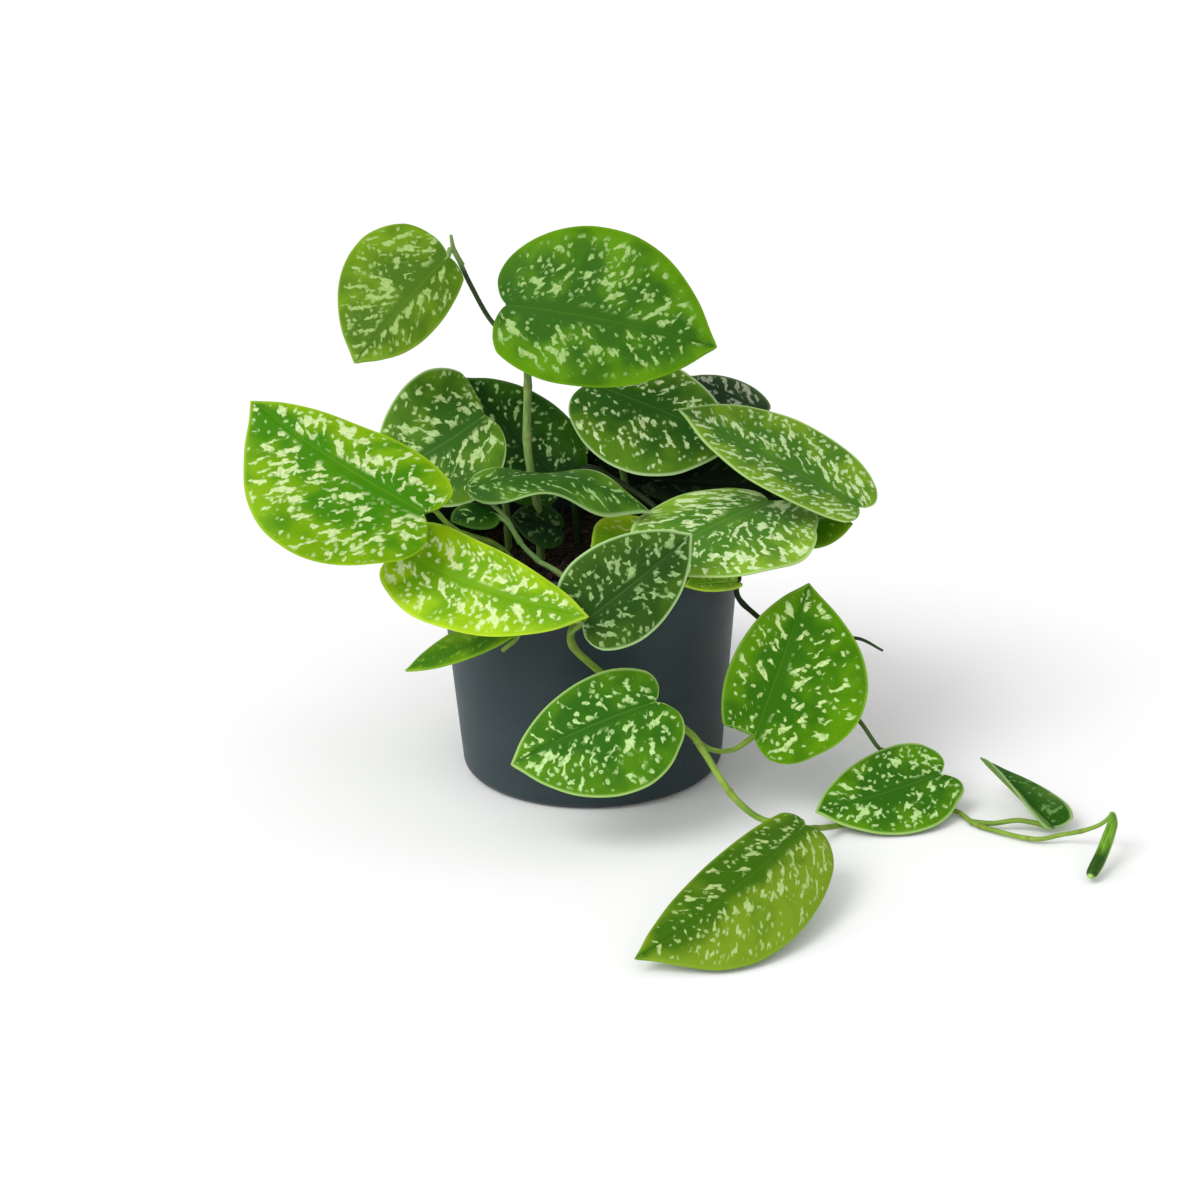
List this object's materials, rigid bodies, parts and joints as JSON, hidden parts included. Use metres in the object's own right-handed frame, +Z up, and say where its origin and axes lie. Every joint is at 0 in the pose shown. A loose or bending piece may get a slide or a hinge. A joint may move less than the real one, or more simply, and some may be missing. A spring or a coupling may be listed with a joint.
{
  "type": "potted scindapsus",
  "caption": "Trailing foliage plant in a round nursery pot: arching stems with heart-shaped, silver-blotched leaves, vines that hang over the rim and lie along the surface.",
  "frame": {"origin": "centre of the pot's flat base, on the surface that the pot stands on", "axes": "+Z up out of the pot, +X towards the side that the vines trail to, -Y towards the front that the picture shows"},
  "size_m": [0.3229, 0.2983, 0.2217],
  "materials": {
    "pot_plastic": "satin",
    "peat": "matte",
    "foliage": "satin",
    "young_foliage": "satin",
    "pale_foliage": "satin",
    "shaded_foliage": "satin"
  },
  "bodies": {
    "root": {"pot": "pot_plastic", "potting_soil": "peat", "front_vine": "foliage", "right_vine": "foliage", "left_shoot": "young_foliage", "upright_shoot": "foliage", "back_left_shoot": "pale_foliage", "centre_shoot": "foliage", "right_shoot": "foliage", "inner_right_shoot": "foliage", "rear_left_shoot": "shaded_foliage", "rear_right_shoot": "shaded_foliage"}
  },
  "joints": []
}
